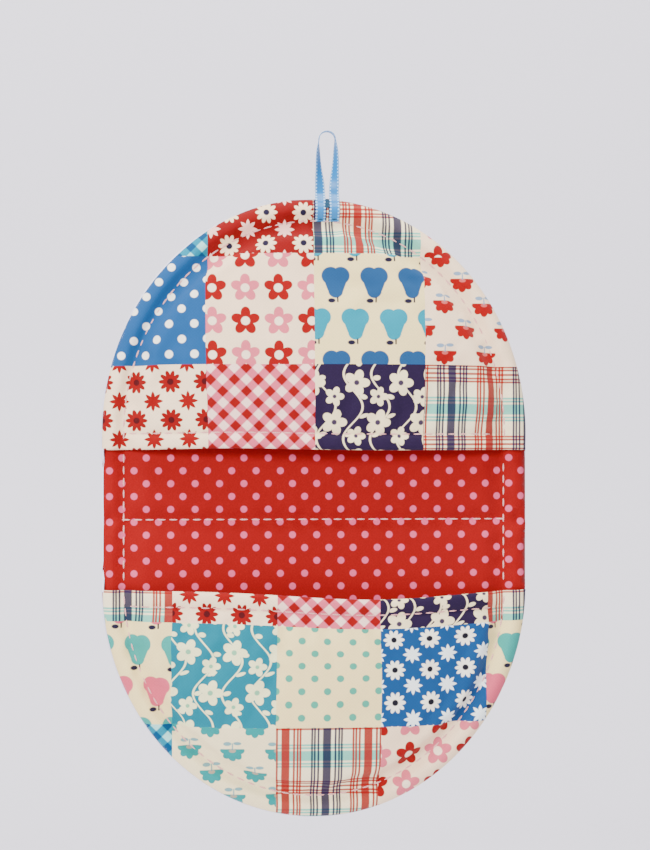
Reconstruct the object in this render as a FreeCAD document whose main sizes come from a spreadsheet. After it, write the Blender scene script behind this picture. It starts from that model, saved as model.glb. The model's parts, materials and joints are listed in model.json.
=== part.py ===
"""Oval two-pocket oven mitt: a padded oval pad with a pocket at each end and a ribbon to hang it by.

The mitt is drawn lying flat: x across, y towards the ribbon, z up from the face cloth. Its middle is the
middle of the oval. Each finished piece is then stood up and hung below the origin, which is the point
inside the top of the ribbon loop where a hook carries it. Hanging, +Z is up and the pockets face -Y.
All sizes are in millimetres.
"""
import FreeCAD, Part
import math
import os
import re

from FreeCAD import Placement, Rotation, Vector

SIZES = [
    ("half_width", 80.0, "half the width of the oval"),
    ("end_rise", 88.0, "height of each rounded end"),
    ("side_length", 56.0, "straight side between the rounded ends"),
    ("cloth", 0.5, "thickness of each cotton cloth"),
    ("liner", 0.5, "thickness of the heat-resisting liner"),
    ("base_loft", 5.5, "thickness of the wadding in the pad"),
    ("pocket_loft", 2.5, "thickness of the wadding in a pocket"),
    ("gape", 9.0, "how far a pocket stands open at its mouth"),
    ("seam_margin", 14.0, "from the outer edge to the hollow of a pocket"),
    ("fold_drop", 4.3, "how far the fold lies below the middle"),
    ("mouth_gap", 26.0, "from the fold to each pocket mouth"),
    ("fold_gap", 1.4, "from the fold to the padding on each side"),
    ("hem", 6.0, "from a pocket mouth to its hem stitches"),
    ("stitch_clear", 2.0, "from the edge stitches to the foot of a pocket's dome"),
    ("stitch_length", 3.2, "length of one stitch"),
    ("stitch_pitch", 4.6, "from one stitch to the next"),
    ("stitch_width", 0.8, "width of the thread"),
    ("stitch_height", 0.4, "how far a stitch stands up"),
    ("loop_drop", 25.0, "from the hanging point to the top of the oval"),
    ("ribbon_shift", 4.5, "how far the ribbon is right of the middle"),
    ("ribbon_width", 4.4, "width of the ribbon"),
    ("ribbon_thick", 0.5, "thickness of the ribbon"),
    ("hook_room", 5.7, "inside width of the loop at its top"),
    ("leg_gap", 0.3, "between the two sewn ends of the ribbon"),
    ("lap_clear", 1.5, "from the sewn end of the ribbon to the foot of the dome"),
    ("pivot_rise", 1.5, "from the top of the oval to the loop's pivot"),
    ("pivot_gap", 0.3, "clear space on each side of the loop's pivot"),
]

UPPER = 1  # a half's sign is the side of the fold that it lies on, along y
LOWER = -1
HALF_NAMES = {UPPER: "upper", LOWER: "lower"}
FAR = 400.0  # reach of the boxes that only trim other pieces

doc = FreeCAD.newDocument("oven_mitt")
sheet = doc.addObject("Spreadsheet::Sheet", "Sizes")
for row, (alias, value, meaning) in enumerate(SIZES, start=1):
    sheet.set(f"A{row}", alias)
    sheet.set(f"B{row}", str(value))
    sheet.set(f"C{row}", meaning)
    sheet.setAlias(f"B{row}", alias)
doc.recompute()

ALIASES = re.compile(r"\b(" + "|".join(alias for alias, _, _ in SIZES) + r")\b")
finished = []


def size(alias):
    """One driving size, for the pieces whose shape is worked out here."""
    return float(sheet.get(alias))


def pocket_skin():
    """Lining, wadding and printed cloth together."""
    return 2 * size("cloth") + size("pocket_loft")


def flat_margin():
    """Width of the flat sewn margin, from the outer edge to the foot of a pocket's dome."""
    return size("seam_margin") - pocket_skin()


def stitch_inset():
    """How far the edge stitches are in from the outer edge."""
    return flat_margin() - size("stitch_clear")


def bind(item, prop, formula):
    """Tie a property of an object to the cells named in a formula."""
    item.setExpression(prop, ALIASES.sub(r"Sizes.\1", formula))


def add(kind, name, **formulas):
    """Add an object and tie the named properties to the sheet."""
    item = doc.addObject(kind, name)
    for prop, formula in formulas.items():
        bind(item, prop, formula)
    return item


def move_to(item, x="0", y="0", z="0"):
    """Tie an object's place to the sheet."""
    for prop, formula in (("x", x), ("y", y), ("z", z)):
        if formula != "0":
            bind(item, f"Placement.Base.{prop}", formula)
    return item


def box(name, low, high):
    """A box between two corners, each given as three formulas."""
    lengths = [f"({top}) - ({bottom})" for bottom, top in zip(low, high)]
    item = add("Part::Box", name, Length=lengths[0], Width=lengths[1], Height=lengths[2])
    return move_to(item, *low)


def join(name, *items):
    joined = doc.addObject("Part::MultiFuse", name)
    joined.Shapes = list(items)
    return joined


def overlap(name, first, second):
    common = doc.addObject("Part::Common", name)
    common.Base = first
    common.Tool = second
    return common


def cut(name, whole, tool):
    left = doc.addObject("Part::Cut", name)
    left.Base = whole
    left.Tool = tool
    return left


def finish(item, label):
    """Keep an object as a sub-part that already stands in the hanging frame."""
    item.Label = label
    finished.append(item)
    return item


def hang(item, label):
    """Stand a flat piece up, hang it below the origin and keep it as a sub-part."""
    item.Placement = Placement(Vector(), Rotation(Vector(1, 0, 0), 90))
    bind(item, "Placement.Base.x", "-ribbon_shift")
    bind(item, "Placement.Base.z", "-loop_drop - end_rise - side_length / 2")
    return finish(item, label)


# The oval ------------------------------------------------------------------------------------------

def half_oval(name, half, low, high):
    """The full outline of one half of the mitt, as a slab from height low to height high."""
    end = add("Part::Ellipse", f"{name}_end",
              MajorRadius="max(half_width; end_rise)", MinorRadius="min(half_width; end_rise)")
    end.Placement = Placement(Vector(), Rotation(Vector(0, 0, 1), 0))
    bind(end, "Placement.Rotation.Angle", "half_width > end_rise ? 0 : 90")
    move_to(end, y=f"{half} * side_length / 2", z=low)
    slab = add("Part::Extrusion", f"{name}_slab", LengthFwd=f"({high}) - ({low})")
    slab.Base = end
    slab.DirMode = "Custom"
    slab.Dir = Vector(0, 0, 1)
    slab.Solid = True
    side = box(f"{name}_side",
               ("-half_width", "-side_length / 2", low), ("half_width", "side_length / 2", high))
    return join(f"{name}_outline", slab, side)


def beyond(name, half, start, outline):
    """Trim an outline to what lies further from the fold than start."""
    edges = (start, f"{FAR}") if half == UPPER else (f"-{FAR}", start)
    keep = box(f"{name}_keep", (f"-{FAR}", edges[0], f"-{FAR}"), (f"{FAR}", edges[1], f"{FAR}"))
    return overlap(f"{name}_trimmed", outline, keep)


def fold_edge(half):
    """Where the padding of one half ends, beside the fold."""
    return f"-fold_drop + {half} * fold_gap"


def mouth(half):
    """Where a pocket opens."""
    return f"-fold_drop + {half} * mouth_gap"


# The pad -------------------------------------------------------------------------------------------

PAD_LAYERS = [
    ("face_cloth", "-cloth", "0"),
    ("base_wadding", "-cloth - base_loft", "-cloth"),
    ("heat_liner", "-cloth - base_loft - liner", "-cloth - base_loft"),
    ("back_cloth", "-2 * cloth - base_loft - liner", "-cloth - base_loft - liner"),
]


def make_pad(half):
    """The layers of the pad on one side of the fold, from the face cloth to the back cloth."""
    for layer, low, high in PAD_LAYERS:
        label = f"{layer}_{HALF_NAMES[half]}"
        outline = half_oval(label, half, low, high)
        hang(beyond(label, half, fold_edge(half), outline), label)


# The pockets ---------------------------------------------------------------------------------------

POCKET_LAYERS = [
    ("lining", "cloth"),
    ("wadding", "cloth + pocket_loft"),
    ("cloth", "2 * cloth + pocket_loft"),
]


def pocket_dome(name, half, skin):
    """The hollow of a pocket, thickened by skin: a quarter of an ellipsoid with its full width at the mouth."""
    depth = f"end_rise + side_length / 2 + {half} * fold_drop - mouth_gap - seam_margin + {skin}"
    dome = add("Part::Ellipsoid", name,
               Radius1=f"gape + {skin}", Radius2=f"half_width - seam_margin + {skin}", Radius3=depth)
    dome.Angle1 = 0
    dome.Angle2 = 90
    dome.Angle3 = 180
    dome.Placement = Placement(Vector(), Rotation(Vector(0, 0, 1), 0 if half == UPPER else 180))
    return move_to(dome, y=mouth(half))


def make_pocket(half):
    """Lining, wadding and printed cloth: flat round the seam and domed over the hand."""
    prefix = f"{HALF_NAMES[half]}_pocket"
    inner = pocket_dome(f"{prefix}_hollow", half, "0")
    for layer, skin in POCKET_LAYERS:
        label = f"{prefix}_{layer}"
        flat = beyond(label, half, mouth(half), half_oval(label, half, "0", skin))
        outer = join(f"{label}_outer", flat, pocket_dome(f"{label}_dome", half, skin))
        hang(cut(f"{label}_piece", outer, inner), label)
        inner = outer


# The stitches --------------------------------------------------------------------------------------

def stitch(place, along, up, sink=0.0):
    """One stitch: a flat bar with rounded ends that lies along a direction on a surface."""
    length = size("stitch_length")
    width = size("stitch_width")
    height = size("stitch_height")
    reach = (length - width) / 2
    start = Vector(-reach, -width / 2, 0)
    end = Vector(reach, -width / 2, 0)
    tip = Vector(length / 2, 0, 0)
    far_start = Vector(-reach, width / 2, 0)
    far_end = Vector(reach, width / 2, 0)
    tail = Vector(-length / 2, 0, 0)
    outline = Part.Wire([
        Part.LineSegment(start, end).toShape(), Part.Arc(end, tip, far_end).toShape(),
        Part.LineSegment(far_end, far_start).toShape(), Part.Arc(far_start, tail, start).toShape()])
    bar = Part.Face(outline).extrude(Vector(0, 0, height))
    across = up.cross(along)
    turn = Rotation(along, across, up, "ZXY")
    bar.Placement = Placement(place - up * sink, turn)
    return bar


def top_height(y):
    """Height of the flat seam margin at a place along the mitt: on a pocket, or on the face cloth."""
    from_fold = abs(y + size("fold_drop"))
    return pocket_skin() if from_fold > size("mouth_gap") else 0.0


def edge_path(half):
    """Points and directions one stitch apart, along one half of the edge stitching."""
    across = size("half_width") - stitch_inset()
    rise = size("end_rise") - stitch_inset()
    straight = size("side_length") / 2
    first = -size("fold_drop") * half
    steps = 400
    points = [Vector(across, half * (first + (straight - first) * i / steps), 0) for i in range(steps)]
    for i in range(2 * steps + 1):
        angle = math.pi * i / (2 * steps)
        points.append(Vector(across * math.cos(angle), half * (straight + rise * math.sin(angle)), 0))
    points += [Vector(-point.x, point.y, 0) for point in reversed(points[:steps])]
    pitch = size("stitch_pitch")
    travelled = 0.0
    due = pitch / 2
    for before, after in zip(points, points[1:]):
        travelled += (after - before).Length
        if travelled >= due:
            due += pitch
            yield after, (after - before).normalize()


def clear_of_steps(point):
    """A stitch is left out where it would bridge the fold or the end of a pocket mouth."""
    from_fold = abs(point.y + size("fold_drop"))
    half_stitch = size("stitch_length") / 2
    clear_of_fold = from_fold > size("fold_gap") + half_stitch
    return clear_of_fold and abs(from_fold - size("mouth_gap")) > half_stitch


def under_ribbon(point):
    """The ribbon's sewn ends cover this much of the front at the top, and hold it in place of stitches."""
    reach = size("ribbon_width") + (size("leg_gap") + size("stitch_length")) / 2
    return point.y > 0 and abs(point.x - size("ribbon_shift")) < reach


def keep_stitches(bars, label):
    """Keep a row of separate stitches as one sub-part, hung like the cloth that they are sewn to."""
    row = doc.addObject("Part::Feature", f"{label}_row")
    row.Shape = Part.makeCompound(bars)
    hang(row, label)


def make_edge_stitches(half):
    """The seam round the rim. Its stitches stand on the front; on the back they sink into the padding."""
    up = Vector(0, 0, 1)
    bars = []
    for point, along in edge_path(half):
        if clear_of_steps(point) and not under_ribbon(point):
            bars.append(stitch(point + up * top_height(point.y), along, up))
    keep_stitches(bars, f"edge_stitches_{HALF_NAMES[half]}")


def make_hem_stitches(half):
    """The row that holds down the folded mouth of a pocket, pressed a little into the cloth."""
    dome_x = size("half_width") - flat_margin()
    dome_z = size("gape") + pocket_skin()
    dome_y = (size("end_rise") + size("side_length") / 2 + half * size("fold_drop")
              - size("mouth_gap") - flat_margin())
    y = -size("fold_drop") + half * (size("mouth_gap") + size("hem"))
    widest = dome_x * math.sqrt(1 - (size("hem") / dome_y) ** 2) - size("stitch_length")
    count = int(2 * widest / size("stitch_pitch"))
    bars = []
    for i in range(count):
        x = (i - (count - 1) / 2) * size("stitch_pitch")
        z = dome_z * math.sqrt(1 - (x / dome_x) ** 2 - (size("hem") / dome_y) ** 2)
        up = Vector(x / dome_x ** 2, half * size("hem") / dome_y ** 2, z / dome_z ** 2).normalize()
        along = Vector(1, 0, -up.x / up.z).normalize()
        if z > pocket_skin() + size("stitch_height"):
            bars.append(stitch(Vector(x, y, z), along, up, sink=size("stitch_height") / 2))
    keep_stitches(bars, f"{HALF_NAMES[half]}_hem_stitches")


def make_centre_stitches():
    """The row that quilts the pad across its middle and makes the fold."""
    y = -size("fold_drop") + size("fold_gap") + size("stitch_width")
    room = 2 * (size("half_width") - stitch_inset() - size("stitch_pitch"))
    count = int(room / size("stitch_pitch"))
    bars = []
    for i in range(count):
        x = (i - (count - 1) / 2) * size("stitch_pitch")
        bars.append(stitch(Vector(x, y, 0), Vector(1, 0, 0), Vector(0, 0, 1)))
    keep_stitches(bars, "centre_stitches")


# The ribbon ----------------------------------------------------------------------------------------

def make_ribbon_loop():
    """One ribbon over the hook: edge-on in a half ring at the top, turning flat as its legs come down."""
    radius = "hook_room / 2"
    ring = add("Part::Cylinder", "loop_ring", Radius=f"{radius} + ribbon_thick", Height="ribbon_width")
    hole = add("Part::Cylinder", "loop_hole", Radius=radius, Height="ribbon_width")
    for disc in (ring, hole):
        disc.Placement = Placement(Vector(), Rotation(Vector(1, 0, 0), 90))
        move_to(disc, y="ribbon_width / 2", z=f"-{radius}")
    band = cut("loop_band", ring, hole)
    above = box("loop_above", (f"-{FAR}", f"-{FAR}", f"-{radius}"), (f"{FAR}", f"{FAR}", f"{FAR}"))
    parts = [overlap("loop_arch", band, above)]
    for side in (-1, 1):
        parts.append(make_leg(side))
    finish(join("loop_piece", *parts), "ribbon_loop")


def make_leg(side):
    """One leg of the loop, from its edge-on top to its flat foot just above the pivot."""
    name = "left" if side < 0 else "right"
    top = add("Part::Plane", f"{name}_leg_top", Length="ribbon_thick", Width="ribbon_width")
    move_to(top, x=f"{side} * (hook_room + ribbon_thick) / 2 - ribbon_thick / 2",
            y="-ribbon_width / 2", z="-hook_room / 2")
    foot = add("Part::Plane", f"{name}_leg_foot", Length="ribbon_width", Width="ribbon_thick")
    move_to(foot, x=f"{side} * (ribbon_width + leg_gap) / 2 - ribbon_width / 2",
            y="-ribbon_thick / 2", z="-loop_drop + pivot_rise + pivot_gap")
    leg = doc.addObject("Part::Loft", f"{name}_leg")
    leg.Sections = [top, foot]
    leg.Solid = True
    leg.Ruled = True
    return leg


def make_ribbon_ends():
    """The two ends of the ribbon: up over the rim from the pivot, then sewn down on the front."""
    front = "-2 * cloth - pocket_loft"
    rim = "-loop_drop"
    lap_end = f"{rim} - seam_margin + 2 * cloth + pocket_loft + lap_clear"
    pieces = []
    for side, name in ((-1, "left"), (1, "right")):
        left = f"{side} * (ribbon_width + leg_gap) / 2 - ribbon_width / 2"
        right = f"{side} * (ribbon_width + leg_gap) / 2 + ribbon_width / 2"
        lap = box(f"{name}_lap", (left, f"{front} - ribbon_thick", lap_end),
                  (right, front, f"{rim} + ribbon_thick"))
        over = box(f"{name}_over", (left, f"{front} - ribbon_thick", rim),
                   (right, "ribbon_thick / 2", f"{rim} + ribbon_thick"))
        tab = box(f"{name}_tab", (left, "-ribbon_thick / 2", rim),
                  (right, "ribbon_thick / 2", f"{rim} + pivot_rise - pivot_gap"))
        pieces.append(join(f"{name}_end", lap, over, tab))
    ends = doc.addObject("Part::Compound", "ribbon_ends_piece")
    ends.Links = pieces
    finish(ends, "ribbon_ends")


def make_ribbon_tack():
    """The short bar of stitches that holds the ribbon's ends to the front."""
    front = pocket_skin() + size("ribbon_thick")
    rise = size("end_rise") + size("side_length") / 2
    lap = flat_margin() - size("lap_clear")
    leg = (size("ribbon_width") + size("leg_gap")) / 2
    bars = []
    for side in (-1, 1):
        for share in (0.3, 0.8):
            place = Vector(size("ribbon_shift") + side * leg, rise - lap * share, front)
            bars.append(stitch(place, Vector(1, 0, 0), Vector(0, 0, 1)))
    keep_stitches(bars, "ribbon_tack")


# Building and writing ------------------------------------------------------------------------------

for half in (UPPER, LOWER):
    make_pad(half)
    make_pocket(half)
    make_edge_stitches(half)
    make_hem_stitches(half)
make_centre_stitches()
make_ribbon_loop()
make_ribbon_ends()
make_ribbon_tack()
doc.recompute()

for item in doc.Objects:
    if "Invalid" in item.State or "Error" in item.State:
        raise RuntimeError(f"{item.Name} did not build: {item.State}")
for item in finished:
    if item.Shape.isNull() or not item.Shape.isValid():
        raise RuntimeError(f"{item.Label} has no valid shape")

os.makedirs("parts", exist_ok=True)
for item in finished:
    item.Shape.exportStep(f"parts/{item.Label}.step")
    extent = item.Shape.BoundBox
    print(f"{item.Label}: {len(item.Shape.Solids)} solids, {item.Shape.Volume:.0f} mm3, "
          f"x {extent.XMin:.1f}..{extent.XMax:.1f}, y {extent.YMin:.1f}..{extent.YMax:.1f}, "
          f"z {extent.ZMin:.1f}..{extent.ZMax:.1f}")
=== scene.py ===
# %% [markdown]
# # An oval oven mitt with two pockets
#
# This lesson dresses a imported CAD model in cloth. The real mitt is a padded oval pad. A hand pocket
# covers each end, a row of stitches across the middle makes the fold, and a ribbon hangs it up.
# Blender gives the looks only: the mitt's main sizes are read from the frame, and the allowances that a
# sewer works with have names.

# %% Load the frame
import json
import math

import bpy
import numpy as np
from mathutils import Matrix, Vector
from mathutils.geometry import delaunay_2d_cdt


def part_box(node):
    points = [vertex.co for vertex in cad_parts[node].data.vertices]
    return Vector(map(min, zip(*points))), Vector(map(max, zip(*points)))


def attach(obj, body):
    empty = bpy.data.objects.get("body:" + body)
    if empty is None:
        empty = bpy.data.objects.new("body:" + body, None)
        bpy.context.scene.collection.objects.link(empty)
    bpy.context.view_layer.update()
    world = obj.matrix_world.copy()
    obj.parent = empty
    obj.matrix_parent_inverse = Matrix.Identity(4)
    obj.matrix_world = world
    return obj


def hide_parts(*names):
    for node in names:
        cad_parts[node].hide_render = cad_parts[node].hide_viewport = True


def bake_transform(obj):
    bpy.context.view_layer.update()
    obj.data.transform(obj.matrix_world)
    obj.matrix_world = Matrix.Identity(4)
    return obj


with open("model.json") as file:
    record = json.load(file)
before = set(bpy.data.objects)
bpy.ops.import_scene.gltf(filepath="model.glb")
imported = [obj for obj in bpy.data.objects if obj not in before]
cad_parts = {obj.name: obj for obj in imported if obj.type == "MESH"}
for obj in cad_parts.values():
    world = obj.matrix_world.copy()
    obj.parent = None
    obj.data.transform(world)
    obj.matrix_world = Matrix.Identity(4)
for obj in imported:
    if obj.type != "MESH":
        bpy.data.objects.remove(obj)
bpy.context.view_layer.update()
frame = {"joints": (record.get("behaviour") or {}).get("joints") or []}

# %% [markdown]
# ## A tailor's coordinates
#
# A sewn thing is easiest to describe as its maker sees it, lying flat. So the lesson works in
# millimetres with three directions: `u` across the mitt, `v` up towards the ribbon and `w` out
# towards the hand. All three start at the middle of the oval, on the plane of the face cloth.
# One function turns such points into the frame's metres.

# %% Sizes from the frame and sewing allowances
MM = 0.001
SIDE = 56.0  # straight part of the oval's sides
STITCH_IN = 8.5  # the edge stitches run this far inside the rim
HEM = 6.0  # the hem stitches run this far inside a pocket's mouth
SEAM_MARGIN = 14.0  # from the rim to the hollow of a pocket

face_low, face_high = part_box("face_cloth_upper")
back_low, back_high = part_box("back_cloth_lower")
MIDDLE_X = (face_low.x + face_high.x) / 2
MIDDLE_Z = (face_high.z + back_low.z) / 2
HALF_WIDTH = (face_high.x - face_low.x) / 2 / MM
HALF_HEIGHT = (face_high.z - back_low.z) / 2 / MM
END_RISE = HALF_HEIGHT - SIDE / 2
PAD_DEPTH = back_high.y / MM
GAPE = -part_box("upper_pocket_lining")[0].y / MM
joint_at = {joint["name"]: joint["pos_m"] for joint in frame["joints"]}
FOLD = (joint_at["fold"][2] - MIDDLE_Z) / MM
UPPER, LOWER = 1, -1
MOUTH = {
    UPPER: (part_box("upper_pocket_cloth")[0].z - MIDDLE_Z) / MM,
    LOWER: (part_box("lower_pocket_cloth")[1].z - MIDDLE_Z) / MM,
}


def in_frame(u, v, w):
    """Tailor's millimetres to the frame's metres, one row a point."""
    return np.column_stack([MIDDLE_X + u * MM, -w * MM, MIDDLE_Z + v * MM])


print(f"oval {2 * HALF_WIDTH:.0f} x {2 * HALF_HEIGHT:.0f} mm, fold at {FOLD:.1f}, mouths at {MOUTH}")

# %% [markdown]
# ## The oval and its rim
#
# The outline is two half-ellipses joined by straight sides. Two questions come up again and again:
# how far inside the rim is a point, and where does the rim run? The first has a neat answer, because
# an ellipse is the curve where `q` equals 1, and the distance to it is close to `(1 - q)` divided by
# how fast `q` grows.


# %% Measure from the rim
def edge_facts(u, v):
    """Distance inside the rim, and the outward direction, at each point."""
    beyond = np.sign(v) * np.maximum(np.abs(v) - SIDE / 2, 0)
    a, b = u / HALF_WIDTH, beyond / END_RISE
    q = np.maximum(np.hypot(a, b), 1e-6)
    slope_u, slope_v = a / HALF_WIDTH / q, b / END_RISE / q
    slope = np.maximum(np.hypot(slope_u, slope_v), 1e-6)
    return (1 - q) / slope, slope_u / slope, slope_v / slope


def rim_path(step, inset=None):
    """Points about a step apart along the rim, anticlockwise from the right, moved in by inset(u, v)."""
    angle = np.linspace(0, 2 * math.pi, 4000)
    u = HALF_WIDTH * np.cos(angle)
    v = END_RISE * np.sin(angle) + SIDE / 2 * np.clip(np.sin(angle) * 400, -1, 1)
    run = np.concatenate([[0], np.cumsum(np.hypot(np.diff(u), np.diff(v)))])
    marks = np.linspace(0, run[-1], max(int(round(run[-1] / step)), 8) + 1)
    u, v = np.interp(marks, run, u), np.interp(marks, run, v)
    if inset is not None:
        _, out_u, out_v = edge_facts(u * 0.999, v * 0.999)
        move = inset(u, v)
        u, v = u - out_u * move, v - out_v * move
    return u, v


def ease(x):
    """A smooth step from 0 to 1 while x goes from 0 to 1."""
    x = np.clip(x, 0, 1)
    return x * x * (3 - 2 * x)


def ridge(x, width):
    """1 at x = 0, falling to 0 within a few widths."""
    return np.exp(-((x / width) ** 2))


rim_length = np.hypot(*np.diff(np.array(rim_path(2.0)))).sum()
print(f"the rim is {rim_length:.0f} mm round")

# %% [markdown]
# ## How the layers lie
#
# Each cloth gets a height above the tailor's plane. Near the rim it follows a rounded edge, dips at
# the edge stitches and then swells over the wadding. Thread pulls cloth together, so small gathers
# stand up on both sides of every row of stitches and vanish on the row itself. These are real
# shapes and not bump, because they catch the light along the rim and change its outline.

# %% The rounded rim
RIM = 4.6  # width of the rounded edge
CREST_PAD = -3.0  # height of the outermost line of the rim between the pockets
CREST_POCKET = -1.9  # and where a pocket is sewn in as well
FACE_PEAK = -0.2  # height of the rounded edge's front, on the face cloth
POCKET_PEAK = 2.9  # and on a pocket


def crest(v):
    """Height of the outermost line of the rim."""
    return CREST_PAD + (CREST_POCKET - CREST_PAD) * ease((np.abs(v - FOLD) - 20) / 14)


def peak(v):
    """Height of the rounded edge's front, whichever cloth is there."""
    return FACE_PEAK + (POCKET_PEAK - FACE_PEAK) * ease((np.abs(v - FOLD) - 22) / 4)


def rim_profile(d, start, front, valley):
    """Round edge up to its front, then down to the row of stitches."""
    rounded = start + (front - start) * np.sqrt(np.clip(1 - (1 - d / RIM) ** 2, 0, 1))
    falling = front + (valley - front) * ease((d - RIM) / (STITCH_IN - RIM))
    return np.where(d < RIM, rounded, falling)


print(f"the rim is rounded over {RIM} mm")

# %% [markdown]
# ## Gathers and the fold
#
# A gather is a short ripple across a row of stitches. A wave along the row gives the ripples, a second,
# slower wave makes them uneven, and two ridges leave them standing only beside the thread. A random
# bumpy texture would be quicker, but it wouldn't follow the rows.


# %% Puckers beside the stitches
def gathers(u, v, d, seed):
    """Small puckers on both sides of the edge stitches."""
    along = np.arctan2(v / HALF_HEIGHT, u / HALF_WIDTH) * rim_length / (2 * math.pi)
    wave = np.cos(2 * math.pi * along / 9.2 + 1.6 * np.sin(along / 13 + seed))
    swell = 0.6 + 0.4 * np.sin(along / 21 + 2 * seed)
    beside = ridge(d - STITCH_IN, 4.2) * (1 - ridge(d - STITCH_IN, 1.3))
    return 0.34 * wave * swell * beside * ease(d / 2)


def row_gathers(u, distance, seed):
    """The same beside a straight row of stitches that runs along u."""
    wave = np.cos(2 * math.pi * u / 8.3 + 1.4 * np.sin(u / 11 + seed))
    return 0.3 * wave * ridge(distance, 4.5) * (1 - ridge(distance, 1.2))


def fold_dip(v, d):
    """How deep the centre stitches pull the cloth in, in millimetres: less where the edge stitches do."""
    return (2.3 - 2.1 * ridge(d - STITCH_IN, 4.0)) * np.exp(-np.abs((v - FOLD) / 3.4) ** 1.6) * ease(d / 4)


print(f"the fold is {fold_dip(FOLD, HALF_WIDTH):.1f} mm deep in the middle")

# %% [markdown]
# ## A height for each cloth
#
# The parts above are now added up, once for the face, once for the back and once for a pocket. A pocket
# has a dome as well, which is highest at its mouth, because the hand goes in there.


# %% Heights of the face, the back and the pockets
def face_height(u, v):
    """The red face cloth."""
    d, _, _ = edge_facts(u, v)
    height = rim_profile(d, crest(v), FACE_PEAK, -1.7) + 2.3 * ease((d - STITCH_IN) / 9)
    height += gathers(u, v, d, 1.0) - fold_dip(v, d)
    return height + row_gathers(u, v - FOLD, 0.5) * ease((d - 4) / 5)


def back_height(u, v):
    """The plain back cloth, on the far side of the pad."""
    d, _, _ = edge_facts(u, v)
    height = rim_profile(d, crest(v), 0.4 - PAD_DEPTH, 2.0 - PAD_DEPTH) - 2.3 * ease((d - STITCH_IN) / 10)
    height += gathers(u, v, d, 4.0) + fold_dip(v, d)
    return height + row_gathers(u, v - FOLD, 2.5) * ease((d - 4) / 5)


def pocket_height(u, v, half):
    """The outside of a pocket: a dome that stands open at its mouth."""
    d, _, _ = edge_facts(u, v)
    inside = np.maximum(half * (v - MOUTH[half]), 0)
    depth = HALF_HEIGHT - half * MOUTH[half] - SEAM_MARGIN
    spread = (u / (HALF_WIDTH - SEAM_MARGIN + 4)) ** 2 + (inside / depth) ** 2
    dome = (GAPE - 1.0) * np.clip(1 - spread, 0, 1) ** 0.85
    height = rim_profile(d, crest(v), POCKET_PEAK, 0.9) + 3.1 * ease((d - STITCH_IN) / 8) + dome
    on_hem = ease((d - STITCH_IN) / 3)
    height += on_hem * (0.45 * ease((HEM - inside) / 1.5) - 0.75 * ridge(inside - HEM, 1.1))
    return height + gathers(u, v, d, 2.0 + half) + on_hem * row_gathers(u, inside - HEM, half)


print(f"face {face_height(np.array([0.0]), np.array([10.0]))[0]:.1f} mm, "
      f"pocket {pocket_height(np.array([0.0]), np.array([30.0]), UPPER)[0]:.1f} mm above the plane")

# %% [markdown]
# ## Where cloth turns over
#
# Two edges turn. At a pocket's mouth the printed cloth folds over the wadding and runs back inside,
# which makes a round lip. Round the rim the back cloth rolls a little to the front on the left, so a
# pale edge shows there. Both are worked out from the flat cloth: what lies past the fold line is
# wound round it.

# %% Roll the back over the rim
SEAM_LEFT = 0.66  # how far round the rim, in radians, the seam lies on the left
SEAM_RIGHT = 0.12


def seam_turn(u, v):
    """How far round the rim, from its crest to the front, the seam lies."""
    return SEAM_RIGHT + (SEAM_LEFT - SEAM_RIGHT) * ease(0.25 - (u + 0.25 * v) / 70)


def seam_inset(u, v):
    """The same as a distance inside the rim."""
    return RIM * (1 - np.cos(seam_turn(u, v)))


def face_shape(u, v):
    return in_frame(u, v, face_height(u, v))


def roll(v):
    """Cloth that it takes to turn one radian round the rim."""
    return 0.55 * (RIM + peak(v) - crest(v))


def back_shape(u, v):
    """Flat back cloth past the rim is wound round it to the front."""
    d, out_u, out_v = edge_facts(u, v)
    over = np.maximum(-d, 0)
    angle = over / roll(v)
    shift = np.where(over > 0, over + RIM * (1 - np.cos(angle)), 0)
    w = np.where(over > 0, crest(v) + (peak(v) - crest(v)) * np.sin(angle), back_height(u, v))
    return in_frame(u - out_u * shift, v - out_v * shift, w)


print(f"the seam shows {seam_inset(-70.0, 0.0):.1f} mm in on the left")

# %% [markdown]
# ## The lip of a pocket
#
# At the mouth the flat cloth is wound round a half circle, like paper round a pencil, and the rest runs
# back inside. A mouth isn't quite level: the lower one sags and the upper one arches by less than a
# millimetre, so the lip is moved up or down as well.

# %% Wind the cloth round a mouth
LIP = 1.5  # radius of the folded edge at a pocket's mouth
TURN_IN = 5.0  # cloth that runs back inside past the lip
PULL_IN = 0.045  # share by which that cloth is drawn in from the rim


def mouth_sag(u, inside, half):
    """How far a mouth is moved up. The lower one hangs open, most of all right of the middle."""
    if half == UPPER:
        return 0.8 * ridge(u + 30, 30) * ease(1 - inside / 30)
    return -3.4 * ridge(u - 22, 42) * ease(1 - inside / 40)


def lip_radius(u, v, half):
    """Radius of the folded edge, smaller near the rim, where the pocket lies close to the face."""
    return np.clip((pocket_height(u, v, half) - face_height(u, v)) / 2 - 0.25, 0.15, LIP)


def pocket_shape(half):
    """Shape of a pocket's printed cloth, with the lip at its mouth."""
    def shape(u, v):
        flat = half * (v - MOUTH[half])
        lip = lip_radius(u, np.full_like(v, MOUTH[half]), half)
        angle = np.clip((lip - flat) / lip, 0, math.pi)
        past = np.maximum((lip - flat) - math.pi * lip, 0)
        inside = np.where(flat < lip, lip - lip * np.sin(angle) + past, flat)
        u_now, v_now = u * (1 - PULL_IN * ease(past / 3)), MOUTH[half] + half * inside
        w = pocket_height(u_now, v_now, half) - np.where(flat < lip, lip * (1 - np.cos(angle)), 0)
        return in_frame(u_now, v_now + mouth_sag(u_now, inside, half), w)
    return shape


def layer_shape(half, sink):
    """Shape of a layer that lies sink(u, v) under the outside of a pocket."""
    def shape(u, v):
        inside = half * (v - MOUTH[half])
        return in_frame(u, v + mouth_sag(u, inside, half), pocket_height(u, v, half) - sink(u, v))
    return shape


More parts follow.
